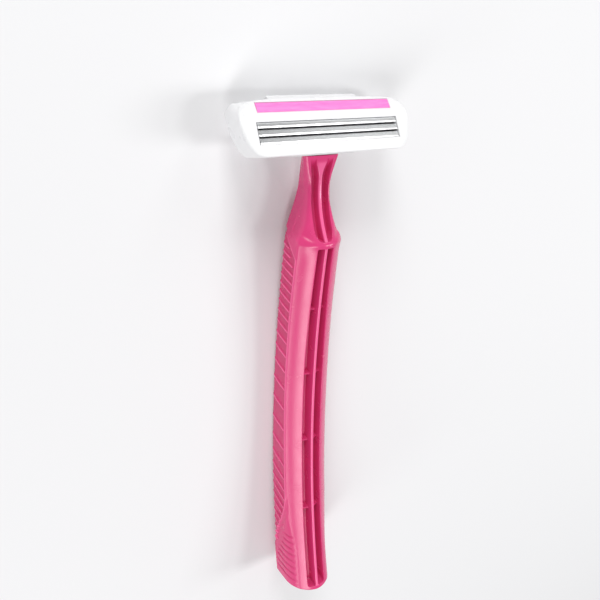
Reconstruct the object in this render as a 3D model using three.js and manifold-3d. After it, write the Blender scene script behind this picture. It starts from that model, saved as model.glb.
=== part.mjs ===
// Disposable three-blade wet razor lying on its back.
// Millimetres. X runs along the head, +Y from the handle's end toward the head, +Z up.
// The blades face up. The lowest points, two small flats, are at z = 0.
import * as THREE from 'three';
import { mergeVertices } from 'three/addons/utils/BufferGeometryUtils.js';
import Module from 'manifold-3d';

// ---- driving dimensions, handle ----
const gripStart = -26.8;
const gripEnd = -120.6;
const handleEnd = -123.4;
const gripSag = 4.35;
const gripTopZ = -0.6;
const gripHalfWidth = 6.1;
const gripRidgeDepth = 3.9;
const gripEdgeDepthHead = 9.4;
const gripEdgeDepthEnd = 11.9;
const backCrown = 1.3;
const neckLowY = -13.7;
const neckLowZ = -4.2;
const neckRiseToGrip = 0.0268;
const neckRiseToHead = 0.0175;
const neckHalfWidth = 3.25;
const neckRidgeDepth = 0.35;
const neckFlare = 0.9;
const neckEnd = -5.9;
const bridgeRounding = 0.45;
const endRounding = 0.5;

// ---- driving dimensions, channels, webs and grip ribs ----
const ribHalf = 0.38;
const channelHalf = 2.55;
const channelHalfNarrow = 2.0;
const channelDepth = 3.4;
const channelTop = -26.6;
const channelBottom = -122.3;
const webCount = 4;
const webFirst = -42.5;
const webPitch = -19.1;
const webThickness = 0.8;
const webHeight = 1.65;
const neckRibHalf = 0.5;
const neckRibFan = 0.8;
const neckChannelHalf = 2.2;
const neckChannelDepth = 2.1;
const neckChannelLow = -25.1;
const neckChannelHigh = -6.7;
const gripRibCount = 24;
const gripRibFirst = -26.8;
const gripRibLast = -111.6;
const gripRibWidth = 0.7;
const gripRibProud = 0.28;
const gripRibSlant = 18;

// ---- driving dimensions, head ----
const faceTilt = 25.32;
const restTilt = 2.6;
const restFlat = 0.22;
const windowHalfLength = 17.5;
const windowHalfHeight = 2.37;
const capStart = 3.2;
const capEnd = 7.45;
const capDrop = 1.0;
const faceLow = -4.85;
const plateThickness = 1.4;
const lipThickness = 0.3;
const lipReach = 0.6;
const cavityHalfLength = 19.1;
const cavityHigh = 5.1;
const cavityLow = -3.6;
const baseFloor = -4.75;
const fitGap = 0.15;
const stripLength = 33.2;
const stripWidth = 2.3;
const stripThickness = 0.6;
const stripProud = 0.12;
const stripGap = 0.1;
const bossHalf = 12;
const tongueHalf = 2.6;

// ---- driving dimensions, blades ----
const bladeCount = 3;
const bladePitch = 1.71;
const bladeEdgeFirst = 1.12;
const bladeEdgeDepth = 0.1;
const bladeHalfLength = 17.3;
const bladeWidth = 1.5;
const bladeThickness = 0.12;
const bladeTilt = 14;
const bladeBevel = 0.4;
const supportHalfLength = 18.3;
const supportThickness = 0.25;
const supportSetback = 0.75;
const supportFoot = -3.35;
const weldGap = 0.02;
const fingerTop = -3.55;
const fingerThickness = 0.5;
const fingerWidth = 0.9;
const fingerTip = 9.5;
const fingerRoot = 18.6;

const handlePink = 0xdb598a;
const whitePlastic = 0xf6f5f7;
const stripPink = 0xf882cb;
const bladeSteel = 0xb9bcc0;
const supportSteel = 0x8e9196;

const wasm = await Module();
wasm.setup();

const rad = (degrees) => (degrees * Math.PI) / 180;
const mix = (a, b, t) => a + (b - a) * t;

function ease(from, to, value) {
  const t = Math.min(1, Math.max(0, (value - from) / (to - from)));
  return t * t * (3 - 2 * t);
}

function smoothMin(a, b, k) {
  const h = Math.max(k - Math.abs(a - b), 0) / k;
  return Math.min(a, b) - (h * h * k) / 4;
}

function solid(geometry) {
  const bare = geometry.clone();
  bare.deleteAttribute('normal');
  bare.deleteAttribute('uv');
  const merged = mergeVertices(bare, 1e-5);
  return new wasm.Manifold(
    new wasm.Mesh({
      numProp: 3,
      vertProperties: new Float32Array(merged.attributes.position.array),
      triVerts: new Uint32Array(merged.index.array),
    }),
  );
}

function surface(manifold) {
  const mesh = manifold.getMesh();
  const geometry = new THREE.BufferGeometry();
  geometry.setAttribute('position', new THREE.BufferAttribute(mesh.vertProperties, 3));
  geometry.setIndex(new THREE.BufferAttribute(mesh.triVerts, 1));
  geometry.computeVertexNormals();
  return geometry;
}

function signedVolume(points, faces) {
  const corner = (i) => new THREE.Vector3().fromArray(points, 3 * i);
  let total = 0;
  for (let i = 0; i < faces.length; i += 3) {
    const normal = corner(faces[i]).cross(corner(faces[i + 1]));
    total += normal.dot(corner(faces[i + 2])) / 6;
  }
  return total;
}

// A closed skin over rings of [x, y, z] points. Every ring runs the same way round.
function loft(rings) {
  const count = rings[0].length;
  const points = rings.flat(2);
  const faces = [];
  for (let r = 0; r < rings.length - 1; r++) {
    for (let i = 0; i < count; i++) {
      const a = r * count + i;
      const b = r * count + ((i + 1) % count);
      faces.push(a, b, b + count, a, b + count, a + count);
    }
  }
  const last = (rings.length - 1) * count;
  const half = count / 2;
  for (let i = 0; i < half - 1; i++) {
    const a = i;
    const b = (count - i) % count;
    faces.push(a, count - 1 - i, i + 1);
    faces.push(last + a, last + i + 1, last + count - 1 - i);
    if (i > 0) {
      faces.push(a, b, count - 1 - i);
      faces.push(last + a, last + count - 1 - i, last + b);
    }
  }
  faces.push(half - 1, half + 1, half);
  faces.push(last + half - 1, last + half, last + half + 1);
  const geometry = new THREE.BufferGeometry();
  geometry.setAttribute('position', new THREE.Float32BufferAttribute(points, 3));
  geometry.setIndex(signedVolume(points, faces) < 0 ? faces.reverse() : faces);
  return geometry;
}

// A block between two corners, as a manifold.
function block(low, high) {
  const size = high.map((value, i) => value - low[i]);
  const box = new THREE.BoxGeometry(...size);
  box.translate(...low.map((value, i) => value + size[i] / 2));
  return solid(box);
}

// A prism along X: the profile is a list of [up, out] points.
function prism(profile, halfLength) {
  const shape = new THREE.Shape(profile.map(([up, out]) => new THREE.Vector2(up, out)));
  const geometry = new THREE.ExtrudeGeometry(shape, { depth: 2 * halfLength, bevelEnabled: false });
  const axes = new THREE.Matrix4().makeBasis(
    new THREE.Vector3(0, 1, 0),
    new THREE.Vector3(0, 0, 1),
    new THREE.Vector3(1, 0, 0),
  );
  geometry.applyMatrix4(axes);
  geometry.translate(-halfLength, 0, 0);
  return solid(geometry);
}

// ---- handle: section data along Y, measured from the middle of the blade window ----
const gripMiddle = (gripStart + gripEnd) / 2;
const gripHalfLength = (gripStart - gripEnd) / 2;

function gripLine(y) {
  const t = (y - gripMiddle) / gripHalfLength;
  return gripTopZ - gripSag * (1 - t * t);
}

function frontLine(y) {
  const rise = y < neckLowY ? neckRiseToGrip : neckRiseToHead;
  const neck = neckLowZ + rise * (y - neckLowY) ** 2;
  return smoothMin(neck, gripLine(y), bridgeRounding);
}

function channelEdge(y) {
  return mix(channelHalfNarrow, channelHalf, ease(gripStart, -62, y));
}

// Depth of the back edge under the grip line. The handle thickens toward its end.
function edgeDepth(y) {
  const grip = mix(gripEdgeDepthHead, gripEdgeDepthEnd, ease(-20, -135, y) * 1.05);
  return grip + 1.6 * ease(-26, -14, y);
}

function section(y) {
  const shoulder = ease(-16, -26, y);
  const flare = neckFlare * ease(-10, -5.5, y);
  const rounding = Math.max(0, handleEnd + endRounding - y);
  const top = frontLine(y) - rounding * 0.8;
  const taper = rounding * 0.8;
  const ridgeX = mix(neckHalfWidth, gripHalfWidth, shoulder) + flare - taper;
  const ridgeZ = top - mix(neckRidgeDepth, gripRidgeDepth, shoulder);
  const edgeX = mix(neckHalfWidth - 0.1, gripHalfWidth + 0.15, shoulder) + flare - taper;
  const edgeZ = gripLine(y) - edgeDepth(y) + rounding * 0.8;
  const crown = mix(0.4, backCrown, shoulder);
  const power = mix(4, 2, shoulder);
  const half = [];
  for (let i = 0; i <= 6; i++) {
    const t = i / 6;
    half.push([ridgeX * t, top + (ridgeZ - top) * t ** power]);
  }
  half.push([mix(ridgeX, edgeX, 0.5), mix(ridgeZ, edgeZ, 0.5)]);
  half.push([edgeX, edgeZ]);
  half.push([edgeX - 0.55, edgeZ - crown * 0.5]);
  half.push([edgeX * 0.62, edgeZ - crown * 0.92]);
  half.push([0, edgeZ - crown]);
  const mirrored = half.slice(1, -1).reverse().map(([x, z]) => [-x, z]);
  return [...half, ...mirrored].map(([x, z]) => [x, y, z]);
}

function stations(from, to, step) {
  const count = Math.ceil(Math.abs(to - from) / step);
  return Array.from({ length: count + 1 }, (_, i) => mix(from, to, i / count));
}

// One channel beside the central rib. inner, outer and floor are functions of y.
function channel(from, to, step, inner, outer, floor) {
  const rings = stations(from, to, step).map((y) => {
    const top = frontLine(y) + 3;
    return [
      [inner(y), y, floor(y)],
      [outer(y), y, floor(y)],
      [outer(y), y, top],
      [inner(y), y, top],
    ];
  });
  return solid(loft(rings));
}

function buildHandle() {
  const ys = [
    handleEnd,
    handleEnd + endRounding,
    ...stations(-121, -30, 2.6),
    ...stations(-28.6, -24.2, 0.55),
    ...stations(-23, neckEnd, 1.14),
  ];
  let body = solid(loft(ys.map(section).reverse()));
  const gripChannel = channel(
    channelTop,
    channelBottom,
    3.9,
    () => ribHalf,
    channelEdge,
    (y) => frontLine(y) - channelDepth,
  );
  let cut = gripChannel;
  for (let i = 0; i < webCount; i++) {
    const y = webFirst + i * webPitch;
    const top = frontLine(y) - channelDepth + webHeight;
    cut = cut.subtract(block([0, y - webThickness / 2, top - 12], [4, y + webThickness / 2, top]));
  }
  const neckChannel = channel(
    neckChannelHigh,
    neckChannelLow,
    1.3,
    (y) => neckRibHalf + neckRibFan * ease(-10.5, -6.5, y),
    (y) => neckChannelHalf + 0.5 * ease(-10.5, -6.5, y) - 0.9 * ease(-23.0, -25.3, y),
    (y) => frontLine(y) - neckChannelDepth - 0.5 * ease(-18, -25, y),
  );
  for (const tool of [cut, neckChannel]) {
    body = body.subtract(tool).subtract(tool.mirror([1, 0, 0]));
  }
  return wasm.Manifold.union([body, ...gripRibs(), tongue()]);
}

// Raised slanted ribs on both flat sides of the grip, wider apart in the middle.
function gripRibs() {
  const ribs = [];
  for (let i = 0; i < gripRibCount; i++) {
    const t = i / (gripRibCount - 1);
    const y = mix(gripRibFirst, gripRibLast, t - 0.085 * Math.sin(2 * Math.PI * t));
    const start = mix(4.2, 5.2, t) + 3 * ease(0.09, 0, t) + 4.4 * ease(0.74, 1, t);
    const length = edgeDepth(y) - start;
    const bar = new THREE.BoxGeometry(0.9, gripRibWidth, length);
    bar.rotateX(rad(-gripRibSlant));
    const z = gripLine(y) - start - length / 2;
    for (const side of [-1, 1]) {
      const rib = bar.clone();
      const x = side * (gripHalfWidth + 0.12 + gripRibProud - 0.45);
      rib.translate(x, y + Math.tan(rad(gripRibSlant)) * (length / 2), z);
      ribs.push(solid(rib));
    }
  }
  return ribs;
}

// Flat tongue on the neck's end. It enters the socket behind the head.
function tongue() {
  const bar = block([-tongueHalf, -1.5, -8.4], [tongueHalf, 5.6, -6.6]);
  return bar.rotate([-faceTilt, 0, 0]).translate([0, -6.9, 0.35]);
}

// ---- head: built with X along the head, Y up the face and Z out of the face ----
const toHandle = new THREE.Matrix4().makeRotationX(rad(-faceTilt));

function faceOutline() {
  const half = [
    [12, 7.62],
    [17.8, 7.4],
    [19.8, 7.0],
    [20.7, 6.1],
    [20.95, 4.4],
    [20.95, 2.2],
    [20.65, 0.2],
    [20.1, -1.7],
    [19.4, -3.1],
    [18.4, -4.4],
    [17.2, -4.9],
  ];
  const left = half.slice().reverse().map(([x, y]) => [-x, y]);
  return [...half, ...left].map(([x, y]) => new THREE.Vector2(x, y));
}

function headBlank() {
  const rear = [
    [-4.7, -1.3],
    [-3.55, -4.55],
    [-2.9, -5.15],
    [0.4, -6.0],
    [3.7, -6.85],
    [6.6, -7.2],
    [7.2, -6.8],
    [7.62, -1.7],
    [capEnd, -capDrop - 0.12],
  ];
  const side = prism([[capStart, 0], [-4.5, 0], [faceLow, -0.35], ...rear], 24);
  const front = new THREE.ExtrudeGeometry(new THREE.Shape(faceOutline()), { depth: 20, bevelEnabled: false });
  front.translate(0, 0, -15);
  return side.intersect(solid(front));
}

const capAngle = Math.atan2(capDrop, capEnd - capStart);

function onCap(width, length, low, high) {
  const bar = block([-length / 2, -width / 2, low], [length / 2, width / 2, high]);
  const middle = 0.56;
  const up = mix(capStart, capEnd, middle);
  return bar.rotate([(-capAngle * 180) / Math.PI, 0, 0]).translate([0, up, -capDrop * middle]);
}

function buildCover() {
  const opening = block(
    [-windowHalfLength, -windowHalfHeight, -5],
    [windowHalfLength, windowHalfHeight, 2],
  );
  const cavity = block(
    [-cavityHalfLength, cavityLow + 0.6, -12],
    [cavityHalfLength, cavityHigh, -plateThickness],
  );
  const corner = block(
    [-cavityHalfLength + 0.9, cavityLow, -12],
    [cavityHalfLength - 0.9, 0, -plateThickness - 0.5],
  );
  const underLip = block(
    [-cavityHalfLength + 0.5, 0, -plateThickness - 0.5],
    [cavityHalfLength - 0.5, windowHalfHeight + lipReach, -lipThickness],
  );
  const seat = onCap(stripWidth + 2 * stripGap, stripLength + 2 * stripGap, stripProud - stripThickness - stripGap, 2);
  const hollow = cavity.add(corner).add(underLip);
  return headBlank().subtract(opening).subtract(hollow).subtract(seat);
}

function buildStrip() {
  return onCap(stripWidth, stripLength, stripProud - stripThickness, stripProud);
}

function buildBase() {
  const inner = block(
    [-cavityHalfLength + fitGap, cavityLow + 0.6 + fitGap, -12],
    [cavityHalfLength - fitGap, cavityHigh - fitGap, baseFloor],
  );
  let base = headBlank().intersect(inner);
  const boss = prism(
    [
      [-4.4, -4.9],
      [-2.4, -9.6],
      [8.0, -11.6],
      [9.9, -9.6],
      [9.9, -5.6],
      [9.3, -4.9],
      [7.85, -4.7],
      [7.85, -7.0],
      [7.3, -7.4],
      [6.6, -7.45],
      [5.1, -7.2],
      [5.1, -5.6],
      [-2.7, -5.0],
    ],
    bossHalf,
  );
  const sideCut = new THREE.Shape([
    new THREE.Vector2(-6.2, -6),
    new THREE.Vector2(6.2, -6),
    new THREE.Vector2(bossHalf, 3),
    new THREE.Vector2(bossHalf - 0.8, 9.6),
    new THREE.Vector2(bossHalf - 2.2, 11),
    new THREE.Vector2(-bossHalf + 2.2, 11),
    new THREE.Vector2(-bossHalf + 0.8, 9.6),
    new THREE.Vector2(-bossHalf, 3),
  ]);
  const outline = new THREE.ExtrudeGeometry(sideCut, { depth: 14, bevelEnabled: false });
  outline.translate(0, 0, -14);
  const aboveNeck = block([-30, neckEnd + 0.25, -40], [30, 40, 40]).rotate([faceTilt, 0, 0]);
  const clearOfCover = headBlank().subtract(inner);
  base = base.add(boss.intersect(solid(outline)).intersect(aboveNeck).subtract(clearOfCover));
  const pocket = block([-tongueHalf - 0.2, -8, -8.6], [tongueHalf + 0.2, 6.0, -6.4]);
  const placed = pocket.rotate([-faceTilt, 0, 0]).translate([0, -6.9, 0.35]).rotate([faceTilt, 0, 0]);
  return base.subtract(placed);
}

// ---- blades and their bent supports, positions counted from the cap toward the guard ----
const bladeEdge = (i) => bladeEdgeFirst - i * bladePitch;

function alongBlade(i, back, below) {
  const a = rad(bladeTilt);
  const up = bladeEdge(i) + back * Math.cos(a) - below * Math.sin(a);
  const out = -bladeEdgeDepth - back * Math.sin(a) - below * Math.cos(a);
  return [up, out];
}

function buildBlade(i) {
  return prism(
    [
      alongBlade(i, 0, 0.015),
      alongBlade(i, bladeBevel, 0),
      alongBlade(i, bladeWidth, 0),
      alongBlade(i, bladeWidth, bladeThickness),
      alongBlade(i, bladeBevel, bladeThickness),
      alongBlade(i, 0, 0.045),
    ].reverse(),
    bladeHalfLength,
  );
}

function buildSupport(i) {
  const upper = bladeThickness + weldGap;
  const lower = upper + supportThickness;
  const rear = alongBlade(i, bladeWidth, upper);
  const inner = alongBlade(i, bladeWidth - 0.42, lower);
  const profile = [
    alongBlade(i, supportSetback, upper),
    rear,
    [rear[0] + 0.12, rear[1] - 0.15],
    [rear[0] + 0.12, supportFoot],
    [rear[0] + 0.12 - supportThickness, supportFoot],
    [rear[0] + 0.12 - supportThickness, inner[1] - 0.12],
    alongBlade(i, supportSetback, lower),
  ];
  const bar = prism(profile.reverse(), supportHalfLength);
  const endLow = block([-30, -10, -plateThickness - 0.1], [-windowHalfLength + 0.2, 10, 4]);
  return bar.subtract(endLow).subtract(endLow.mirror([1, 0, 0]));
}

// A sprung arm under one end of a support. It is rooted in the base at its outer end.
function buildFinger(i, side) {
  const a = alongBlade(i, bladeWidth, 0);
  const middle = a[0] + 0.05;
  const shape = [
    [fingerRoot, baseFloor + 0.05],
    [fingerRoot, fingerTop - 0.1],
    [fingerTip + 1.2, fingerTop],
    [fingerTip, fingerTop - 0.15],
    [fingerTip, fingerTop - fingerThickness + 0.1],
    [fingerRoot - 1.6, fingerTop - 0.1 - fingerThickness],
    [fingerRoot - 1.6, baseFloor + 0.05],
  ].map(([x, z]) => new THREE.Vector2(side * x, z));
  const geometry = new THREE.ExtrudeGeometry(new THREE.Shape(shape), { depth: fingerWidth, bevelEnabled: false });
  geometry.rotateX(Math.PI / 2);
  geometry.translate(0, middle + fingerWidth / 2, 0);
  return solid(geometry);
}

// ---- assembly ----
const group = new THREE.Group();
const restTurn = new THREE.Matrix4().makeRotationX(rad(-restTilt));

function belly() {
  const depth = stations(gripEnd, gripStart, 0.2).map((y) => {
    const z = gripLine(y) - edgeDepth(y) - backCrown;
    return -y * Math.sin(rad(restTilt)) + z * Math.cos(rad(restTilt));
  });
  return Math.min(...depth) + restFlat;
}

const floorZ = belly();
const aboveFloor = block([-100, -300, floorZ], [100, 300, 200]);

function place(name, manifold, inHead, colour, roughness, metalness) {
  const geometry = surface(manifold);
  if (inHead) geometry.applyMatrix4(toHandle);
  geometry.applyMatrix4(restTurn);
  const rested = surface(solid(geometry).intersect(aboveFloor));
  const material = new THREE.MeshStandardMaterial({ color: colour, roughness, metalness });
  const mesh = new THREE.Mesh(rested, material);
  mesh.name = name;
  group.add(mesh);
}

place('handle', buildHandle(), false, handlePink, 0.35, 0);
place('head_cover', buildCover(), true, whitePlastic, 0.35, 0);
place('head_base', buildBase(), true, whitePlastic, 0.4, 0);
place('lubricating_strip', buildStrip(), true, stripPink, 0.5, 0);
for (let i = 0; i < bladeCount; i++) {
  place(`blade_${i + 1}`, buildBlade(i), true, bladeSteel, 0.25, 1);
  place(`blade_support_${i + 1}`, buildSupport(i), true, supportSteel, 0.35, 1);
  place(`spring_finger_${i + 1}_left`, buildFinger(i, -1), true, whitePlastic, 0.4, 0);
  place(`spring_finger_${i + 1}_right`, buildFinger(i, 1), true, whitePlastic, 0.4, 0);
}

const extent = new THREE.Box3().setFromObject(group);
const shiftY = -(extent.min.y + extent.max.y) / 2;
for (const mesh of group.children) mesh.geometry.translate(0, shiftY, -floorZ);

export default group;
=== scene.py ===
"""Disposable three-blade razor lying on its back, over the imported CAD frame.

Sizes are in millimetres in two helper frames, and place() turns them into metres in the row frame:
- the handle frame: X across, Y toward the head, Z up, measured from the middle of the blade window
- the face frame: X along the head, Y up the face, Z out of the face, from the same point

In the handle, "depth" is the distance below the arc of the grip, and each half is built for X > 0 and
mirrored.
"""

import math

import bmesh
import bpy
import numpy as np
from mathutils import Matrix, Vector


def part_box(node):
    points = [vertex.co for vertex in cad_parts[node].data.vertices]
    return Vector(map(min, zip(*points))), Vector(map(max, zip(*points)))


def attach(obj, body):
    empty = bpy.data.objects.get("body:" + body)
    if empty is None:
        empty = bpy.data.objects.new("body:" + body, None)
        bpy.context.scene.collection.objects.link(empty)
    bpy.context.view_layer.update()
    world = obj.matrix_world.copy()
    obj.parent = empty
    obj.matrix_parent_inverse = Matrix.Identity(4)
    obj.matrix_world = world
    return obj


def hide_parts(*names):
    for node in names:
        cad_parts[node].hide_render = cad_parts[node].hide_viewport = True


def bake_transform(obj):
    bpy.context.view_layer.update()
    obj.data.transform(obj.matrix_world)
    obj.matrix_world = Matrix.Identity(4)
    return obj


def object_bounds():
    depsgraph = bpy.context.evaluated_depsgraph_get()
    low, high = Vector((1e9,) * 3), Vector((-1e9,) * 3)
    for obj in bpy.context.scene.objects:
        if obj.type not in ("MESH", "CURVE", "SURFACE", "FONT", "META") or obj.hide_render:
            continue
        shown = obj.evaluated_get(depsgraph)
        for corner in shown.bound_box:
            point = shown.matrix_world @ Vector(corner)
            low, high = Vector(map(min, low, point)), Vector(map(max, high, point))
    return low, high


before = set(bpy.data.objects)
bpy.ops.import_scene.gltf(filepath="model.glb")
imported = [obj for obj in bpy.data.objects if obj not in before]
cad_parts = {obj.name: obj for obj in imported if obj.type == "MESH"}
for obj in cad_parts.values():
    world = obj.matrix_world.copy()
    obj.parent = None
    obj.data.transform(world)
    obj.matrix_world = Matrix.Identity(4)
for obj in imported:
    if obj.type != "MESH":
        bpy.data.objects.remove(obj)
cad_low, cad_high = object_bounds()

MM = 0.001
FACE_TILT = math.radians(25.32)
REST_TILT = math.radians(2.6)
# The cap slopes back from CAP_START to CAP_END, and the strip lies around CAP_MIDDLE of the way up it.
CAP_START, CAP_END, CAP_DROP, CAP_MIDDLE = 3.2, 7.45, 1.0, 0.56
CAP_SLOPE = CAP_DROP / (CAP_END - CAP_START)
CAP_ANGLE = math.atan(CAP_SLOPE)
CAP_ALONG = CAP_START + CAP_MIDDLE * (CAP_END - CAP_START)
STRIP_LENGTH, STRIP_WIDTH, STRIP_LOW, STRIP_HIGH = 33.2, 2.3, -0.46, 0.1
CAD_STRIP_CENTRE = -0.18  # the CAD strip's middle, below the cap


# ---------------------------------------------------------------- frames
def turn_x(angle):
    c, s = math.cos(angle), math.sin(angle)
    return np.array([[1, 0, 0], [0, c, -s], [0, s, c]])


HANDLE_TURN = turn_x(-REST_TILT)
FACE_TURN = turn_x(-REST_TILT - FACE_TILT)


def frame_origin():
    """The middle of the blade window in the row frame, in mm, from where the strip is."""
    low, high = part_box("lubricating_strip")
    centre = np.array((low + high) / 2) / MM
    up = CAP_ALONG + CAD_STRIP_CENTRE * math.sin(CAP_ANGLE)
    out = -CAP_MIDDLE * CAP_DROP + CAD_STRIP_CENTRE * math.cos(CAP_ANGLE)
    return centre - FACE_TURN @ np.array([0, up, out])


ORIGIN = frame_origin()


def place(points, turn):
    return (np.asarray(points, float) @ turn.T + ORIGIN) * MM


def place_in_box(points, turn):
    """place() for a moulding that rests on the floor and reaches the top of the CAD's box."""
    verts = place(points, turn)
    verts[:, 2] = np.clip(verts[:, 2], 0, cad_high[2])
    return verts


# ---------------------------------------------------------------- mesh helpers
def new_object(name, verts, faces, smooth_angle=None):
    mesh = bpy.data.meshes.new(name)
    mesh.from_pydata([tuple(v) for v in verts], [], [tuple(f) for f in faces])
    mesh.validate()
    bm = bmesh.new()
    bm.from_mesh(mesh)
    bmesh.ops.recalc_face_normals(bm, faces=bm.faces)
    bm.to_mesh(mesh)
    bm.free()
    obj = bpy.data.objects.new(name, mesh)
    bpy.context.scene.collection.objects.link(obj)
    mesh.polygons.foreach_set("use_smooth", [True] * len(mesh.polygons))
    if smooth_angle is not None:
        mesh.set_sharp_from_angle(angle=math.radians(smooth_angle))
    return obj


def grid_faces(rows, cols):
    """Quads between the rows of a grid whose columns close on themselves."""
    index = np.arange(rows * cols).reshape(rows, cols)
    nxt = np.roll(index, -1, 1)
    return np.stack([index[:-1], nxt[:-1], nxt[1:], index[1:]], -1).reshape(-1, 4).tolist()


def tube_faces(rows, cols):
    """The same, with both ends closed."""
    last = (rows - 1) * cols
    return grid_faces(rows, cols) + [list(range(cols))[::-1], list(range(last, last + cols))]


def apply_modifiers(obj):
    graph = bpy.context.evaluated_depsgraph_get()
    done = bpy.data.meshes.new_from_object(obj.evaluated_get(graph))
    obj.modifiers.clear()
    old = obj.data
    obj.data = done
    done.name = old.name
    bpy.data.meshes.remove(old)


def round_edges(obj, width, segments):
    """Rounds the edges sharper than 35 degrees, width in mm."""
    bevel = obj.modifiers.new("edges", "BEVEL")
    bevel.width = width * MM
    bevel.segments = segments
    bevel.limit_method = "ANGLE"
    bevel.angle_limit = math.radians(35)
    bevel.harden_normals = True
    bevel.use_clamp_overlap = True


def weigh_normals(obj):
    """Keeps large faces flat-looking next to their small roundings."""
    modifier = obj.modifiers.new("normals", "WEIGHTED_NORMAL")
    modifier.keep_sharp = True
    modifier.weight = 60
    apply_modifiers(obj)


def ease(a, b, v):
    """0 where v is at a, 1 where it is at b, smooth in between. a may be larger than b."""
    t = np.clip((v - a) / (b - a), 0, 1)
    return t * t * (3 - 2 * t)


def lerp(a, b, t):
    return a + (b - a) * t


def soft_min(a, b, k):
    """The smaller of a and b, blended where they are less than k apart."""
    h = np.maximum(k - np.abs(a - b), 0) / k
    return np.minimum(a, b) - h * h * k / 4


def bell(v, width):
    return np.exp(-((v / width) ** 2))


def smooth_curve(x, y, q):
    """A monotone cubic through the points (x, y), read at q."""
    h = np.diff(x)
    d = np.diff(y) / h
    m = np.zeros_like(y)
    m[0], m[-1] = d[0], d[-1]
    for i in range(1, len(y) - 1):
        if d[i - 1] * d[i] > 0:
            w1, w2 = 2 * h[i] + h[i - 1], h[i] + 2 * h[i - 1]
            m[i] = (w1 + w2) / (w1 / d[i - 1] + w2 / d[i])
    i = np.clip(np.searchsorted(x, q) - 1, 0, len(h) - 1)
    t = (q - x[i]) / h[i]
    rise = (1 + 2 * t) * (1 - t) ** 2 * y[i] + t * t * (3 - 2 * t) * y[i + 1]
    return rise + (t * (1 - t) ** 2 * m[i] + t * t * (t - 1) * m[i + 1]) * h[i]


# ---------------------------------------------------------------- handle
GRIP_TOP, GRIP_LOW = -26.8, -120.6
HANDLE_END, NECK_END = -123.4, -5.9
RIB_HALF = 0.36
CHANNEL_DEPTH, WEB_DROP = 3.4, 1.65
WEBS = [-42.5 - 17.2 * i - 0.63 * i * i for i in range(4)]
CHANNEL_TOP, CHANNEL_LOW = -26.6, -122.4
NECK_CHANNEL_LOW, NECK_CHANNEL_HIGH = -25.1, -6.2
CHANNEL_END = 0.35  # length over which a channel reaches its depth at its lower end
DRAFT = 0.1
SLANT = 0.32  # rise of the grip ribs toward the head, per mm of depth
RIB_COS = 0.952
RIB_HEIGHT, PANEL_SINK, BEAD_HEIGHT = 0.4, 0.5, 0.18
GROOVE_DEPTH, HOLLOW_DEPTH, SCOOP_DEPTH = 0.28, 0.16, 0.22
END_ROUND = 0.45
SIDE_COLUMNS, BACK_COLUMNS = 34, 6

# Stations along the handle: y, half width and depth of the ridge between the front and the side, half
# width and depth of the back edge, and how far the back bulges below that edge.
STATIONS = np.array(
    [
        [-123.4, 6.15, 4.1, 6.2, 11.8, 1.6],
        [-108.0, 6.1, 4.2, 6.2, 11.5, 1.8],
        [-94.0, 6.15, 4.0, 6.25, 11.0, 1.9],
        [-66.0, 6.15, 3.75, 6.28, 10.0, 1.95],
        [-50.0, 6.05, 3.75, 6.22, 9.7, 1.9],
        [-33.0, 5.85, 3.6, 6.2, 9.5, 1.7],
        [-29.0, 5.8, 3.6, 6.2, 9.5, 1.5],
        [-25.0, 5.9, 3.3, 6.0, 10.1, 1.2],
        [-23.2, 5.15, 2.5, 5.2, 10.7, 0.9],
        [-21.3, 4.4, 1.6, 4.5, 11.1, 0.9],
        [-18.7, 3.7, 0.9, 3.7, 11.4, 0.8],
        [-16.0, 3.25, 0.55, 3.2, 11.4, 0.6],
        [-13.0, 3.2, 0.4, 2.95, 11.3, 0.5],
        [-10.5, 3.6, 0.45, 3.1, 11.2, 0.4],
        [-8.5, 4.15, 0.5, 3.3, 11.0, 0.4],
        [-5.0, 5.0, 0.7, 3.7, 10.4, 0.4],
    ]
)


def grip_line(y):
    """Height of the arc that the whole grip follows."""
    t = (y - (GRIP_TOP + GRIP_LOW) / 2) / ((GRIP_TOP - GRIP_LOW) / 2)
    return -0.6 - 4.35 * (1 - t * t)


def front_line(y):
    """Height of the front's middle: the arc, and the hollow of the neck."""
    rise = np.where(y < -13.7, 0.0268, 0.0175)
    return soft_min(-4.2 + rise * (y + 13.7) ** 2, grip_line(y), 0.45)


def station(y, column):
    return smooth_curve(STATIONS[:, 0], STATIONS[:, column], y)


def corner(q):
    """How far a quarter-round corner has closed at q, from 0 where it starts to 1 at its end."""
    q = np.clip(q, 0, 1)
    return 1 - np.sqrt(np.maximum(1 - q * q, 0))


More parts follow.
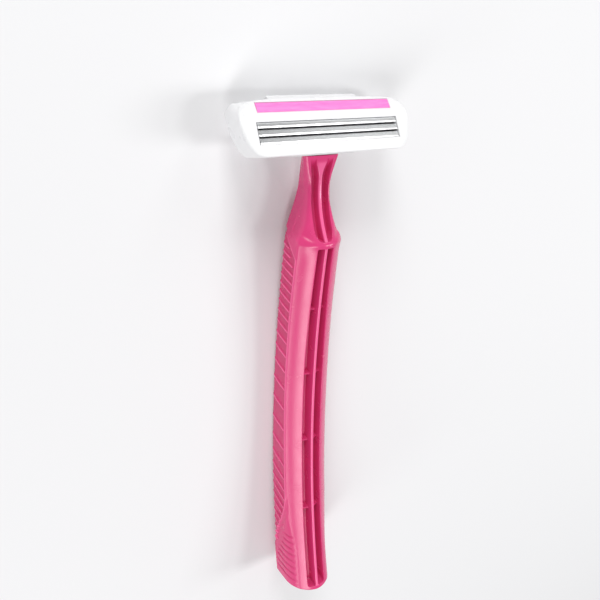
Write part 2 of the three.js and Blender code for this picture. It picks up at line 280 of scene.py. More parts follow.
def channel_plan(y):
    """Depth of the twin channels and their inner and outer edges at each y."""
    grip_depth = CHANNEL_DEPTH * ease(CHANNEL_TOP, CHANNEL_TOP - 0.3, y)
    grip_depth = grip_depth * ease(CHANNEL_LOW, CHANNEL_LOW + CHANNEL_END, y)
    for web in WEBS:
        grip_depth = grip_depth - WEB_DROP * ease(0.48, 0.24, np.abs(y - web)) * (grip_depth > 1)
    neck_depth = 2.1 + 0.6 * ease(-18, -25, y)
    neck_depth = neck_depth * ease(NECK_CHANNEL_LOW, NECK_CHANNEL_LOW + CHANNEL_END, y)
    neck_depth = neck_depth * ease(NECK_CHANNEL_HIGH, NECK_CHANNEL_HIGH - 3.2, y)
    in_grip = y < -25.9
    low_corner = corner((CHANNEL_LOW + 0.75 - y) / 0.75)
    top_corner = corner((y - CHANNEL_TOP + 0.4) / 0.4)
    grip_outer = lerp(2.05, 2.6, ease(-27, -60, y)) - 0.7 * low_corner - 0.3 * top_corner
    grip_inner = RIB_HALF + 0.55 * low_corner + 0.1 * top_corner
    fan = ease(-11.5, -6.3, y)
    neck_outer = 2.3 + 0.6 * fan - 1.6 * corner((-22.7 - y) / 2.4)
    neck_inner = 0.46 + 1.1 * fan**1.5
    depth = np.where(in_grip, grip_depth, neck_depth)
    return depth, np.where(in_grip, grip_inner, neck_inner), np.where(in_grip, grip_outer, neck_outer)


def front_columns(y):
    """Columns of the right half's front, from the rib's middle to where the ridge's rounding starts."""
    depth, inner, outer = channel_plan(y)
    top = front_line(y)
    ridge_x, ridge_d = station(y, 1), station(y, 2)
    power = lerp(4.0, 2.0, ease(-17.5, -27.5, y))
    round_x = lerp(0.95, 0.34, ease(-19, -27.5, y)) + 1.6 * ease(-99, -115, y)
    is_cut = np.minimum(depth / 0.2, 1)
    columns = []

    def add(x, sunk=0.0, edge=0.0):
        """A column at x, sunk by that part of the channel's depth, with its edge eased by edge mm."""
        drop = ridge_d * (np.abs(x) / ridge_x) ** power
        columns.append((x, top - drop - depth * sunk - edge * is_cut))

    for t, edge in ((0, 0), (0.4, 0.01), (0.68, 0.04), (0.87, 0.1), (1.0, 0.2)):
        add(inner * t, 0, edge)
    wall = ((0.2, 0.2), (0.6, 0.65), (0.9, 0.94), (1.0, 0.985))
    for t, sunk in wall:
        add(inner + DRAFT * t, sunk)
    for t in (0.06, 0.5, 0.94):
        add(lerp(inner + DRAFT, outer - DRAFT, t), 1.0)
    for t, sunk in wall[::-1]:
        add(outer - DRAFT * t, sunk)
    rim = ((0.0, 0.07), (0.02, 0.035), (0.05, 0.012), (0.1, 0.0))
    for x, edge in rim:
        add(outer + x, 0, edge)
    for t in (0.04, 0.12, 0.24, 0.37, 0.5, 0.62, 0.73, 0.83, 0.92, 1.0):
        add(lerp(outer + rim[-1][0], ridge_x - round_x, t))
    return columns, (ridge_x, top - ridge_d)


def bend(a, b, c, count):
    """Points of a rounded corner from a to c that leans on b. Each point is a pair of arrays."""
    out = []
    for t in np.linspace(0, 1, count)[1:]:
        w = ((1 - t) ** 2, 2 * t * (1 - t), t * t)
        out.append(tuple(w[0] * a[k] + w[1] * b[k] + w[2] * c[k] for k in range(2)))
    return out


def half_section(y):
    """x and z of the right half's columns at each y, and the column where the side begins."""
    columns, ridge = front_columns(y)
    edge_x = station(y, 3)
    edge_z = grip_line(y) - station(y, 4)
    crown = station(y, 5)
    side_round = lerp(1.9, 0.36, ease(-19, -27.5, y)) + 3.0 * ease(-99, -115, y)
    t = side_round / np.maximum(ridge[1] - edge_z, 0.5)
    side_top = (lerp(ridge[0], edge_x, t), lerp(ridge[1], edge_z, t))
    side_start = len(columns)
    columns += bend(columns[-1], ridge, side_top, 9)
    for s in np.linspace(0, 1, SIDE_COLUMNS)[1:]:
        columns.append((lerp(side_top[0], edge_x, s), lerp(side_top[1], edge_z, s)))
    reach = np.minimum(2.4, edge_x * 0.6)
    low = edge_z - crown * 0.85
    columns += bend(columns[-1], (edge_x + 0.02, low), (edge_x - reach, low), 9)
    for s in np.linspace(0, 1, BACK_COLUMNS)[1:]:
        columns.append(((edge_x - reach) * (1 - s), low - crown * 0.15 * s * (2 - s)))
    x = np.stack([np.broadcast_to(c[0], y.shape) for c in columns], -1)
    z = np.stack([np.broadcast_to(c[1], y.shape) for c in columns], -1)
    return x, z, side_start


def grip_ribs():
    """y and depth of each grip rib's front end, and its half width."""
    ribs, y = [], -27.5
    while y > -112.6:
        spread = math.exp(-(((y + 71) / 19.5) ** 2))
        t = (-27.5 - y) / 85
        depth = 4.5 + 0.6 * t + 2.9 * float(ease(-33.5, -27.5, np.array(y)))
        depth += 5.3 * float(ease(-96, -114.5, np.array(y)))
        ribs.append((y, depth, 0.4 + 0.1 * spread))
        y -= 2.12 + 3.95 * spread
    return ribs


def border_depth(y):
    """Front border of the sunk grip panel: a slanted top, the ridge, then a curve to the back."""
    top = 10.0 + (y + 23.1) / 1.1
    ridge = station(y, 2) + 0.34
    low = 6.8 * ease(-95, -114.5, y) ** 1.25
    return np.maximum(top, ridge + low)


def relief(y, x, depth, side):
    """The moulded detail over the plain handle: its height in mm, and the light and shade painted into its
    colour.

    side is 1 on the side faces. The painted light is 1 for painted highlights on crests and -1 for painted
    shade in sunk parts, for the plastic's colour.
    """
    wide = np.abs(x)
    edge = station(y, 4)
    inside = depth - border_depth(y)

    # the sunk grip panel with painted shade over it, a painted highlight along its edge, and the bead and
    # hollow along its curved low end
    bent = ease(-95, -99, y) * side
    wall = lerp(0.3, 1.0, ease(-31.5, -29.5, y))
    panel = ease(0, wall, inside) * side * ease(-22.8, -23.6, y) * ease(-115.2, -113.6, y)
    height = -PANEL_SINK * panel
    painted_light_tone = 0.75 * bell(inside + 0.2, 0.24) * side * ease(-24.0, -27.5, y) * ease(-115, -110, y) - panel
    height += BEAD_HEIGHT * bell(inside + 0.22, 0.26) * bent * ease(-115, -112, y)
    height -= HOLLOW_DEPTH * bell(inside + 1.2, 0.6) * bent * ease(-113, -107, y)

    # the slanted grip ribs, which get lower toward the back and stop on its rounding, each with a painted
    # highlight along its crest
    fade = 1 - 0.62 * ease(edge - 2.0, edge + 0.3, depth)
    fade = fade * (1 - ease(edge + 0.6, edge + 1.2, depth))
    for rib_y, rib_depth, half in grip_ribs():
        rows = np.abs(y.mean(1) - rib_y - 1.0) < 3.6
        along = (y[rows] - rib_y - SLANT * (depth[rows] - rib_depth)) * RIB_COS
        before = np.maximum(rib_depth - depth[rows], 0)
        reach = np.minimum(np.sqrt(along**2 + before**2) / half, 1)
        height[rows] += RIB_HEIGHT * (1 - reach**2.6) ** 1.4 * fade[rows] * side
        painted_light_tone[rows] += 2.1 * (1 - reach**2) ** 2 * side

    # the fine grooves across the low end, with painted shade in them
    for k in range(8):
        line = -108.2 - 1.84 * k
        start = lerp(5.6, 11.2, float(ease(-107, -119.5, np.array(line))))
        across = np.minimum(np.abs(y - line - 0.05 * (depth - 4)) / 0.36, 1)
        groove = (1 - across**2) ** 2 * ease(start + 0.5, start - 0.3, depth) * ease(4.95, 5.4, wide)
        height -= GROOVE_DEPTH * groove
        painted_light_tone -= 0.9 * groove

    # the scoops of the shoulder, beside the neck, with painted shade in them
    below = y + 25.3 - 0.626 * (wide - 3.46)
    centre = lerp(3.75, 4.2, ease(-18, -23, y))
    width = lerp(0.6, 1.3, ease(-18, -23, y))
    scoop = ease(0, 1.2, below) * bell(below, 4.6) * bell(wide - centre, width) * (depth < edge - 3)
    height -= SCOOP_DEPTH * scoop
    painted_light_tone -= 0.5 * scoop

    # a painted highlight on the crest of the rib between the channels
    cut, inner, _ = channel_plan(y)
    painted_light_tone += 0.9 * ease(0.3, 1.2, cut) * ease(1.0, 0.75, wide / inner) * (depth < edge * 0.7) * (1 - side)
    return height, np.clip(painted_light_tone, -1, 1)


def handle_rows():
    """Rows along the handle, close together where ribs, webs and grooves need them."""
    rows = list(np.linspace(HANDLE_END, HANDLE_END + 0.5, 6))
    rows += list(np.arange(-122.8, -107.0, 0.17))
    rows += list(np.arange(-31.5, -22.5, 0.2))
    rows += list(np.linspace(-22.5, NECK_END, 58))
    for rib_y, rib_depth, _ in grip_ribs():
        centre = rib_y - SLANT * (rib_depth - 4)
        rows += [centre + d for d in (-0.5, -0.42, -0.34, -0.22, -0.08, 0.08, 0.22, 0.34, 0.42, 0.5)]
    for web in WEBS:
        rows += [web + s * d for s in (-1, 1) for d in (0.1, 0.22, 0.3, 0.38, 0.48)]
    for end in (CHANNEL_TOP, CHANNEL_LOW + CHANNEL_END, NECK_CHANNEL_LOW + CHANNEL_END):
        rows += list(np.linspace(end - 0.4, end + 0.05, 8))
    rows = np.unique(np.round(rows, 3))
    kept = [rows[0]]
    for y in rows[1:]:
        if y - kept[-1] > 0.055:
            kept += list(np.linspace(kept[-1], y, int(math.ceil((y - kept[-1]) / 0.45)) + 1)[1:])
    kept[-1] = NECK_END
    return np.array(kept)


def slant_rows(y, x, z):
    """Slides the side columns toward the head so that the rows run along the grip ribs."""
    mask = ease(-121.8, -115.2, y) * ease(-22.0, -27.6, y)
    depth = grip_line(y)[:, None] - z
    last = station(y, 4)[:, None] + 0.5
    slide = SLANT * np.clip(depth - 4, 0, last - 4) * mask[:, None]
    back = slice(-BACK_COLUMNS, None)
    first = slice(-BACK_COLUMNS, 1 - BACK_COLUMNS)
    slide[:, back] = np.minimum(slide[:, back], slide[:, first] * np.linspace(1, 0, BACK_COLUMNS))
    moved = y[:, None] + slide
    new_x = np.stack([np.interp(moved[:, k], y, x[:, k]) for k in range(x.shape[1])], 1)
    new_z = np.stack([np.interp(moved[:, k], y, z[:, k]) for k in range(x.shape[1])], 1)
    return moved, new_x, new_z


def mirror(columns, sign=1):
    return np.concatenate([columns, sign * columns[:, -2:0:-1]], 1)


def build_handle():
    rows_y = handle_rows()
    x, z, side_start = half_section(rows_y)
    side = np.zeros((1, x.shape[1]))
    side[:, side_start:] = 1
    y, x, z = slant_rows(rows_y, x, z)
    ring_x, ring_y, ring_z, side = mirror(x, -1), mirror(y), mirror(z), mirror(side)[0][None, :]
    grid = np.stack([ring_x, ring_y, ring_z], -1)
    along = np.gradient(grid, axis=0)
    around = (np.roll(grid, -1, 1) - np.roll(grid, 1, 1)) / 2
    normal = np.cross(along, around)
    normal /= np.maximum(np.linalg.norm(normal, axis=-1, keepdims=True), 1e-9)
    inside = np.stack([0 * ring_x, ring_y, ring_z.mean(1, keepdims=True) + 0 * ring_z], -1)
    flip = np.sign(((grid - inside) * normal).sum(-1).mean())
    rise, painted_light_tone = relief(ring_y, ring_x, grip_line(ring_y) - ring_z, side)
    grid = grid + normal * flip * rise[..., None]
    closing = corner((HANDLE_END + 0.5 - rows_y) / 0.5)[:, None]
    middle = ring_z.mean(1, keepdims=True)
    grid[..., 0] -= np.sign(ring_x) * np.minimum(np.abs(ring_x), 1) * END_ROUND * closing
    grid[..., 2] -= np.clip((ring_z - middle) / 2, -1, 1) * END_ROUND * closing
    grid[0, :, 1], grid[-1, :, 1] = HANDLE_END, NECK_END
    verts = place_in_box(grid.reshape(-1, 3), HANDLE_TURN)
    handle = new_object("handle_moulding", verts, tube_faces(*ring_x.shape), 60)
    # the painted highlights and painted shade of the relief, kept per point for the pink plastic's colour
    attribute = handle.data.attributes.new("painted_light_tone", "FLOAT", "POINT")
    attribute.data.foreach_set("value", (0.5 + painted_light_tone.ravel() / 2).tolist())
    weigh_normals(handle)
    return handle


# ---------------------------------------------------------------- head cover
WINDOW_X, WINDOW_Y = 17.5, 2.37
SIDE_POINTS = (70, 28, 70, 28)  # points along the top, right, bottom and left
RIM_RADIUS, WINDOW_RADIUS, REAR_RADIUS = 0.42, 0.14, 0.3
LIP_THICKNESS, INNER_FACE = 0.28, -1.35


def outline_points():
    """The front face's outline, clockwise from the middle of its top."""
    half = [
        (0, 7.66), (8, 7.65), (13, 7.55), (16.4, 7.3), (18.2, 6.95), (19.5, 6.35), (20.4, 5.35),
        (20.82, 4.2), (20.93, 2.9), (20.85, 1.6), (20.6, 0.2), (20.15, -1.5), (19.6, -2.8),
        (18.9, -3.75), (18.1, -4.45), (17.2, -4.85), (16.2, -4.95), (10, -4.95), (0, -4.95),
    ]
    return np.array(half + [(-x, y) for x, y in half[-2:0:-1]], float)


def resample(points, count, start, end):
    """count points evenly spaced along a closed smooth curve, from the point nearest start to end."""
    fine = []
    for i in range(len(points)):
        a, b, c, d = (points[(i + k) % len(points)] for k in (-1, 0, 1, 2))
        for t in np.linspace(0, 1, 24, endpoint=False):
            curve = (2 * a - 5 * b + 4 * c - d) * t * t + (3 * b - a - 3 * c + d) * t**3
            fine.append(0.5 * (2 * b + (c - a) * t + curve))
    fine = np.array(fine)
    first, last = (np.argmin(((fine - corner_point) ** 2).sum(1)) for corner_point in (start, end))
    part = fine[first:last + 1] if last > first else np.vstack([fine[first:], fine[:last + 1]])
    step = np.concatenate([[0], np.cumsum(np.linalg.norm(np.diff(part, axis=0), axis=1))])
    want = np.linspace(0, step[-1], count, endpoint=False)
    return np.stack([np.interp(want, step, part[:, k]) for k in range(2)], 1)


def head_rings():
    """The window's edge and the head's outline, with the same number of points, side by side."""
    corners = np.array([(-19.5, 6.55), (19.5, 6.55), (18.7, -4.15), (-18.7, -4.15)])
    window = np.array([(-1, 1), (1, 1), (1, -1), (-1, -1)]) * (WINDOW_X, WINDOW_Y)
    outer, inner = [], []
    for k, count in enumerate(SIDE_POINTS):
        nxt = (k + 1) % 4
        outer.append(resample(outline_points(), count, corners[k], corners[nxt]))
        t = np.linspace(0, 1, count, endpoint=False)[:, None]
        inner.append(lerp(window[k], window[nxt], t))
    return np.vstack(inner), np.vstack(outer)


def face_height(p):
    """Height of the front face at (x, up): flat, then the cap's slope from a soft crease."""
    up = p[:, 1]
    crease = 0.35
    blend = np.clip((up - CAP_START + crease) / (2 * crease), 0, 1)
    cap = np.where(up > CAP_START + crease, -(up - CAP_START) * CAP_SLOPE, -(blend**2) * crease * CAP_SLOPE)
    guard = -0.05 * ease(-3.0, -4.6, up)
    bow = -0.12 * ease(17.8, 20.9, np.abs(p[:, 0]))
    return cap + guard + bow


def rear_height(up):
    """Height of the rear edge, which slopes away from the face toward the top."""
    return np.interp(up, [-3.55, -2.9, 0.4, 3.7, 6.6, 7.3], [-4.55, -5.15, -6.0, -6.85, -7.2, -6.9])


def squeeze(p, height):
    """Pulls the walls in as they run back and squares the upper corners behind the face."""
    q = p.copy()
    square = ease(-0.7, -3.0, height)
    near = ease(16.0, 17.4, np.abs(p[:, 0])) * ease(3.4, 4.6, p[:, 1])
    reach = np.maximum((np.abs(p[:, 0]) - 16.6) / 4.3, (p[:, 1] - 3.2) / 4.46)
    grow = np.clip(1 / np.maximum(reach, 0.35), 1, 1.5) - 1
    q[:, 0] += np.sign(p[:, 0]) * (np.abs(p[:, 0]) - 16.6) * grow * near * square
    q[:, 1] += (p[:, 1] - 3.2) * grow * near * square
    low = np.interp(-height, [0, 1.3, 4.55, 8], [-4.95, -4.72, -3.55, -3.0])
    high = np.interp(-height, [0, 1.7, 6.8, 8], [7.66, 7.6, 6.95, 6.8])
    q[:, 1] = np.clip(q[:, 1], low, high)
    return q


def inset(ring, amount):
    """Moves a closed ring inward along its normals."""
    tangent = np.roll(ring, -1, 0) - np.roll(ring, 1, 0)
    tangent /= np.maximum(np.linalg.norm(tangent, axis=1, keepdims=True), 1e-9)
    inward = np.stack([tangent[:, 1], -tangent[:, 0]], 1)
    return ring + inward * amount


def widen_window(ring, amount):
    """Moves the points that lie on the window's edge outward."""
    on_edge = np.abs(np.abs(ring) - [WINDOW_X, WINDOW_Y]) < 1e-6
    return ring + np.sign(ring) * amount * on_edge


def turn_steps(*degrees):
    """Sine and cosine along a rounding."""
    return [(math.sin(math.radians(a)), math.cos(math.radians(a))) for a in degrees]


def build_cover():
    """The white front: rings from the window's edge over the face, down the walls and back inside."""
    inner, outer = head_rings()
    top_edge = inner[:, 1] > WINDOW_Y - 1e-3
    rings = []

    def ring(p, height):
        rings.append(np.column_stack([p, np.broadcast_to(height, len(p))]))

    # the window's wall and its rounding
    ring(inner, np.where(top_edge, -LIP_THICKNESS, INNER_FACE))
    ring(inner, -0.16)
    for sine, cosine in turn_steps(25, 50, 75):
        ring(widen_window(inner, WINDOW_RADIUS * (1 - cosine)), -WINDOW_RADIUS * (1 - sine))

    # the face and its rim
    start = widen_window(inner, WINDOW_RADIUS)
    rim = inset(outer, RIM_RADIUS)
    for t in np.linspace(0, 1, 15):
        p = lerp(start, rim, t)
        ring(p, face_height(p))
    edge = face_height(outer)
    for sine, cosine in turn_steps(18, 36, 54, 72, 90):
        ring(inset(outer, RIM_RADIUS * (1 - sine)), edge - RIM_RADIUS * (1 - cosine))

    # the walls and the rear edge
    wall_top = edge - RIM_RADIUS
    rear = rear_height(np.clip(outer[:, 1], -3.55, 7.3))
    for t in (0.12, 0.3, 0.5, 0.7, 0.88, 0.95):
        height = lerp(wall_top, rear, t)
        ring(squeeze(outer, height), height)
    back = squeeze(outer, rear)
    for sine, cosine in turn_steps(30, 60, 90):
        ring(inset(back, REAR_RADIUS * (1 - cosine)), rear + REAR_RADIUS * (1 - sine))
    for width in (0.54, 1.08):
        ring(inset(back, REAR_RADIUS + width), rear)

    # the hollow behind the face
    hollow = np.stack([np.clip(back[:, 0], -19.1, 19.1), np.clip(back[:, 1], -3.0, 5.1)], 1)
    under = np.stack([np.clip(inner[:, 0], -18.4, 18.4), inner[:, 1]], 1)
    ring(hollow, rear + 0.05)
    ring(hollow, INNER_FACE - 0.15)
    ring(lerp(hollow, under, 0.5), INNER_FACE - 0.05)
    ring(widen_window(inner, 0.3), np.where(top_edge, -LIP_THICKNESS - 0.02, INNER_FACE - 0.05))

    grid = np.stack(rings)
    rows, cols = grid.shape[:2]
    closed = np.arange(rows * cols).reshape(rows, cols)
    faces = grid_faces(rows, cols)
    join = np.stack([closed[-1], np.roll(closed[-1], -1), np.roll(closed[0], -1), closed[0]], -1)
    faces += join.tolist()
    cover = new_object("head_shell", place_in_box(grid.reshape(-1, 3), FACE_TURN), faces)
    cut_seat(cover)
    cover.data.set_sharp_from_angle(angle=math.radians(38))
    return cover


def on_cap(points):
    """Points given along the cap's slope, around the strip's middle, in the face frame."""
    return np.array(points) @ turn_x(-CAP_ANGLE).T + [0, CAP_ALONG, -CAP_MIDDLE * CAP_DROP]


def cap_block(width, length, low, high):
    """Corners of a block that lies in the sloping cap, in the face frame."""
    signs = ((-1, -1), (1, -1), (1, 1), (-1, 1))
    corners = [(sx * length / 2, sy * width / 2, h) for h in (low, high) for sx, sy in signs]
    return on_cap(corners)


BOX_FACES = [(0, 1, 2, 3), (4, 5, 6, 7), (0, 1, 5, 4), (1, 2, 6, 5), (2, 3, 7, 6), (3, 0, 4, 7)]


def cut_seat(cover):
    """Cuts the seat of the strip, 0.08 mm clear of it all round."""
    block = cap_block(STRIP_WIDTH + 0.16, STRIP_LENGTH + 0.16, STRIP_LOW - 0.06, 2)
    cutter = new_object("seat_cutter", place(block, FACE_TURN), BOX_FACES)
    cut = cover.modifiers.new("seat", "BOOLEAN")
    cut.operation = "DIFFERENCE"
    cut.object = cutter
    cut.solver = "EXACT"
    apply_modifiers(cover)
    bpy.data.objects.remove(cutter)
    cover.data.polygons.foreach_set("use_smooth", [True] * len(cover.data.polygons))


def build_strip():
    """The lubricating strip: a soft bar with a slightly crowned top and eased edges."""
    end = STRIP_LENGTH / 2
    xs = [-end, *np.linspace(0.05 - end, end - 0.05, 260), end]
    profile = []
    for t in np.linspace(-1, 1, 19):
        crown = STRIP_HIGH - 0.1 * t * t - 0.12 * max(0, abs(t) - 0.86) / 0.14
        profile.append((t * STRIP_WIDTH / 2, crown))
    profile += [(STRIP_WIDTH / 2, STRIP_LOW), (-STRIP_WIDTH / 2, STRIP_LOW)]
    points = []
    for x in xs:
        ease_end = 0.06 if abs(x) == end else 0
        points += [(x, a, b - (ease_end if b > 0 else 0)) for a, b in profile]
    faces = tube_faces(len(xs), len(profile))
    return new_object("strip_bar", place(on_cap(points), FACE_TURN), faces, 40)


# ---------------------------------------------------------------- blades
BLADE_TILT = math.radians(14)
BLADE_PITCH, BLADE_EDGE = 1.71, 1.12
BLADE_HALF = 17.3
# (distance back from the edge, distance below the upper face), round the cross-section
BLADE_PROFILE = (
    (0.0, 0.07), (0.08, 0.05), (0.38, 0.0), (1.36, 0.0), (1.38, 0.02), (1.38, 0.1), (1.36, 0.12),
    (0.42, 0.12), (0.08, 0.085),
)
BEVEL_CORNERS = {0, 1, 2}  # the profile points between which the bevels lie


def on_blade(i, back, below):
    """A point of blade i's cross-section: back from its edge, below its upper face."""
    up = BLADE_EDGE - i * BLADE_PITCH + back * math.cos(BLADE_TILT) - below * math.sin(BLADE_TILT)
    out = -0.1 - back * math.sin(BLADE_TILT) - below * math.cos(BLADE_TILT)
    return up, out


def build_blade(i):
    """A ground strip: plate, first bevel, honed second bevel and a fine edge."""
    profile = [on_blade(i, *point) for point in BLADE_PROFILE]
    end = BLADE_HALF
    xs = [-end, 0.05 - end, *np.linspace(-16.8, 16.8, 15), end - 0.05, end]
    verts = [(x, up, out) for x in xs for up, out in profile]
    faces = tube_faces(len(xs), len(profile))
    return new_object(f"ground_blade_{i + 1}", place(verts, FACE_TURN), faces, 5)


def mark_bevels(blade):
    """Gives the second material, a paler steel that paints a highlight along the edge, to the faces of the
    two bevels.
    """
    for face in blade.data.polygons:
        corners = {v % len(BLADE_PROFILE) for v in face.vertices}
        if len(face.vertices) == 4 and corners <= BEVEL_CORNERS:
            face.material_index = 1


# ---------------------------------------------------------------- materials
def srgb(r, g, b):
    def one(c):
        c /= 255
        return c / 12.92 if c <= 0.04045 else ((c + 0.055) / 1.055) ** 2.4

    return one(r), one(g), one(b), 1.0


class Nodes:
    """Small helper to lay out one material's node tree."""

    def __init__(self, name):
        self.material = bpy.data.materials.new(name)
        self.material.use_nodes = True
        self.tree = self.material.node_tree
        self.shader = self.tree.nodes["Principled BSDF"]

    def add(self, kind, **inputs):
        node = self.tree.nodes.new(kind)
        for key, value in inputs.items():
            node.inputs[key.replace("_", " ")].default_value = value
        return node

    def link(self, source, target):
        self.tree.links.new(source, target)

    def set(self, **values):
        for key, value in values.items():
            self.shader.inputs[key.replace("_", " ")].default_value = value

    def object_coords(self, scale=(1, 1, 1)):
        coords = self.add("ShaderNodeTexCoord")
        mapping = self.add("ShaderNodeMapping")
        mapping.inputs["Scale"].default_value = scale
        self.link(coords.outputs["Object"], mapping.inputs["Vector"])
        return mapping.outputs["Vector"]

    def noise(self, vector, scale, detail=3.0, roughness=0.5):
        node = self.add("ShaderNodeTexNoise", Scale=scale, Detail=detail, Roughness=roughness)
        self.link(vector, node.inputs["Vector"])
        return node.outputs["Fac"]

    def ramp(self, value, low, high):
        """Spreads a noise's usual 0.3 to 0.7 over low to high."""
        node = self.add("ShaderNodeMapRange", From_Min=0.3, From_Max=0.7, To_Min=low, To_Max=high)
        self.link(value, node.inputs["Value"])
        return node.outputs["Result"]

    def colour_mix(self, blend_type="MIX"):
        node = self.add("ShaderNodeMix")
        node.data_type = "RGBA"
        node.blend_type = blend_type
        return node

    def tint(self, value, first, second):
        """Sets the base colour between two colours by value."""
        node = self.colour_mix()
        node.inputs["A"].default_value = first
        node.inputs["B"].default_value = second
        self.link(value, node.inputs["Factor"])
        self.link(node.outputs["Result"], self.shader.inputs["Base Color"])
        return node.outputs["Result"]

    def bump(self, value, strength, distance):
        node = self.add("ShaderNodeBump", Strength=strength, Distance=distance)
        self.link(value, node.inputs["Height"])
        self.link(node.outputs["Normal"], self.shader.inputs["Normal"])


def pink_plastic():
    """Glossy pink, with highlights painted paler on thin crests and shade painted deeper in sunk parts, from
    the handle's painted-light attribute.
    """
    n = Nodes("pink_moulded_plastic")
    vector = n.object_coords()
    base = n.tint(n.ramp(n.noise(vector, 90, 4), 0, 1), srgb(216, 62, 122), srgb(213, 59, 119))
    # painted shade darkens the sunk parts and painted highlight brightens the crests, read from the handle's
    # attribute
    painted_light_tone = n.add("ShaderNodeAttribute")
    painted_light_tone.attribute_name = "painted_light_tone"
    painted_light_ramp = n.add("ShaderNodeValToRGB")
    stops = painted_light_ramp.color_ramp.elements
    stops[0].position, stops[0].color = 0.0, (0.88, 0.68, 0.8, 1)
    stops[1].position, stops[1].color = 1.0, (1.3, 2.9, 1.75, 1)
    stops.new(0.5).color = (1, 1, 1, 1)
    n.link(painted_light_tone.outputs["Fac"], painted_light_ramp.inputs["Fac"])
    painted_light_colour = n.colour_mix("MULTIPLY")
    painted_light_colour.inputs["Factor"].default_value = 1
    n.link(base, painted_light_colour.inputs["A"])
    n.link(painted_light_ramp.outputs["Color"], painted_light_colour.inputs["B"])
    n.link(painted_light_colour.outputs["Result"], n.shader.inputs["Base Color"])
    n.link(n.ramp(n.noise(vector, 300, 3), 0.22, 0.28), n.shader.inputs["Roughness"])
    n.set(IOR=1.52, Specular_IOR_Level=0.45)
    return n.material


def white_plastic():
    n = Nodes("white_moulded_plastic")
    vector = n.object_coords()
    n.tint(n.ramp(n.noise(vector, 120, 4), 0, 1), srgb(235, 235, 236), srgb(232, 232, 234))
    n.link(n.ramp(n.noise(vector, 300, 3), 0.26, 0.34), n.shader.inputs["Roughness"])
    n.set(IOR=1.5)
    return n.material


def strip_pink():
    n = Nodes("lubricating_strip_polymer")
    vector = n.object_coords((1, 6, 6))
    streak = n.noise(vector, 260, 5, 0.65)
    n.tint(n.ramp(streak, 0, 1), srgb(255, 120, 202), srgb(255, 146, 214))
    n.link(n.ramp(streak, 0.4, 0.6), n.shader.inputs["Roughness"])
    n.bump(n.noise(n.object_coords(), 1800, 4), 0.2, 0.00002)
    n.set(IOR=1.45)
    return n.material


def steel(name, colour, rough_low, rough_high, scale_along):
    """Bare steel with grinding lines that run along X, the shorter the higher scale_along is."""
    n = Nodes(name)
    grind = n.noise(n.object_coords((scale_along, 160, 160)), 30, 3, 0.5)
    n.tint(n.ramp(grind, 0, 1), colour, (*(c * 0.96 for c in colour[:3]), 1))
    n.link(n.ramp(grind, rough_low, rough_high), n.shader.inputs["Roughness"])
    n.set(Metallic=1.0)
    return n.material


def floor_white():
    n = Nodes("studio_floor")
    cloud = n.ramp(n.noise(n.object_coords(), 3, 2), 0, 1)
    n.tint(cloud, (0.78, 0.78, 0.79, 1), (0.77, 0.77, 0.78, 1))
    n.set(Roughness=0.9)
    return n.material


PINK = pink_plastic()
WHITE = white_plastic()
STRIP = strip_pink()
BLADE = steel("ground_blade_steel", (0.8, 0.81, 0.82, 1), 0.25, 0.27, 1)
# paler than the blade steel: a painted highlight along the bevels
BEVEL = steel("honed_bevel_steel_painted_highlight", (0.95, 0.95, 0.96, 1), 0.26, 0.28, 1)
SUPPORT = steel("rolled_support_steel", (0.5, 0.51, 0.53, 1), 0.3, 0.45, 8)


def paint(obj, *materials):
    obj.data.materials.clear()
    for material in materials:
        obj.data.materials.append(material)


# ---------------------------------------------------------------- pieces
def add_piece(obj, body, node, slot_name, *materials):
    """obj moves with body, stands for node and is painted with the given materials. slot_name is not used.
    """
    paint(obj, *materials)
    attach(obj, body)
    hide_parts(node)


ARM_CUTS = np.arange(10.5, 18.0, 0.75)  # where the arm is divided


def flex_arm(i, side):
    """A spring arm: the CAD finger copied, divided at the cuts and given eased edges."""
    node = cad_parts[f"spring_finger_{i + 1}_{side}"]
    arm = bpy.data.objects.new(f"spring_arm_{i + 1}_{side}", node.data.copy())
    bpy.context.scene.collection.objects.link(arm)
    sign = -1 if arm.data.vertices[0].co.x < 0 else 1
    bm = bmesh.new()
    bm.from_mesh(arm.data)
    for x in ARM_CUTS:
        everything = bm.verts[:] + bm.edges[:] + bm.faces[:]
        cut_at = (x * sign * MM, 0, 0)
        bmesh.ops.bisect_plane(bm, geom=everything, plane_co=cut_at, plane_no=(1, 0, 0), dist=1e-7)
    bm.to_mesh(arm.data)
    bm.free()
    round_edges(arm, 0.1, 2)
    apply_modifiers(arm)
    paint(arm, WHITE)
    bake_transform(arm)
    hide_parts(node.name)


add_piece(build_handle(), "razor", "handle", "handle_plastic", PINK)
add_piece(build_cover(), "razor", "head_cover", "head_plastic", WHITE)
add_piece(build_strip(), "razor", "lubricating_strip", "strip", STRIP)
for i in range(3):
    blade = build_blade(i)
    add_piece(blade, f"blade_{i + 1}", f"blade_{i + 1}", "blade_steel", BLADE, BEVEL)
    mark_bevels(blade)
    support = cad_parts[f"blade_support_{i + 1}"]
    paint(support, SUPPORT)
    round_edges(support, 0.06, 2)
    for side in ("left", "right"):
        flex_arm(i, side)
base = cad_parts["head_base"]
paint(base, WHITE)
round_edges(base, 0.35, 4)


# ---------------------------------------------------------------- stage, camera and light
FLOOR_HALF, FLOOR_GAP = 6.0, 0.00002


def add_floor():
    corners = [(x * FLOOR_HALF, y * FLOOR_HALF, 0) for x, y in ((-1, -1), (1, -1), (1, 1), (-1, 1))]
    mesh = bpy.data.meshes.new("floor")
    mesh.from_pydata(corners, [], [(0, 1, 2, 3)])
    mesh.materials.append(floor_white())
    floor = bpy.data.objects.new("floor", mesh)
    bpy.context.scene.collection.objects.link(floor)
    floor.location.z = -FLOOR_GAP


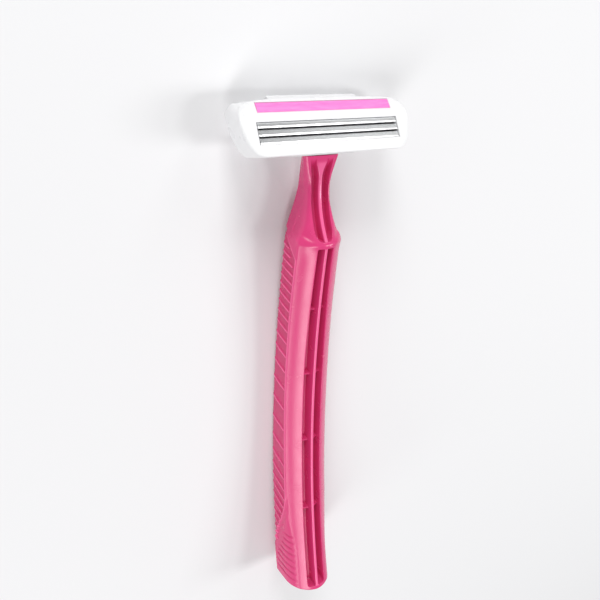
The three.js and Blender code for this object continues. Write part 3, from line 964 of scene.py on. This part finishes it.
def add_camera():
    """A camera at the photograph's viewing angle."""
    data = bpy.data.cameras.new("camera")
    data.lens = 42.0
    data.sensor_width = 36.0
    data.clip_start, data.clip_end = 0.01, 20
    camera = bpy.data.objects.new("camera", data)
    bpy.context.scene.collection.objects.link(camera)
    right = HANDLE_TURN @ np.array([0.86906, 0.01571, 0.49445])
    down = HANDLE_TURN @ np.array([-0.15896, -0.93762, 0.30918])
    ahead = HANDLE_TURN @ np.array([0.46847, -0.34730, -0.81236])
    position = place([(-81.611, 17.661, 129.036)], HANDLE_TURN)[0]
    camera.matrix_world = Matrix([*np.column_stack([right, -down, -ahead, position]).tolist(), (0, 0, 0, 1)])
    bpy.context.scene.camera = camera


def add_area(name, location, target, size, power):
    """A rectangular softbox aimed at target. It isn't seen by the camera itself."""
    data = bpy.data.lights.new(name, "AREA")
    data.shape = "RECTANGLE"
    data.size, data.size_y = size
    data.energy = power
    light = bpy.data.objects.new(name, data)
    bpy.context.scene.collection.objects.link(light)
    light.visible_camera = False
    light.location = location
    light.rotation_euler = (Vector(target) - Vector(location)).to_track_quat("-Z", "Y").to_euler()


def add_world(strength):
    world = bpy.data.worlds.new("studio")
    bpy.context.scene.world = world
    world.use_nodes = True
    world.node_tree.nodes["Background"].inputs["Color"].default_value = (1, 1, 1, 1)
    world.node_tree.nodes["Background"].inputs["Strength"].default_value = strength


add_floor()
add_camera()
add_world(0.34)
add_area("key", (0.46, -0.02, 0.38), (0, 0, 0), (0.14, 0.2), 0.85)
add_area("rim_spot", (0.3, 0, 0.5), (0, 0, 0.01), (0.08, 0.12), 0.55)
add_area("top_softbox", (-0.29, -0.29, 0.44), (0, -0.02, 0), (0.14, 0.44), 1.6)
add_area("ridge_softbox", (-0.52, -0.3, 0.17), (0, 0, 0.01), (0.24, 0.12), 0.45)
add_area("rib_softbox", (-0.12, 0.52, 0.25), (0, 0, 0.01), (0.2, 0.2), 1.6)
add_area("back_softbox", (0.32, 0.5, 0.34), (0, 0.06, 0.01), (0.12, 0.28), 0.4)
bpy.context.scene.view_settings.view_transform = "Standard"
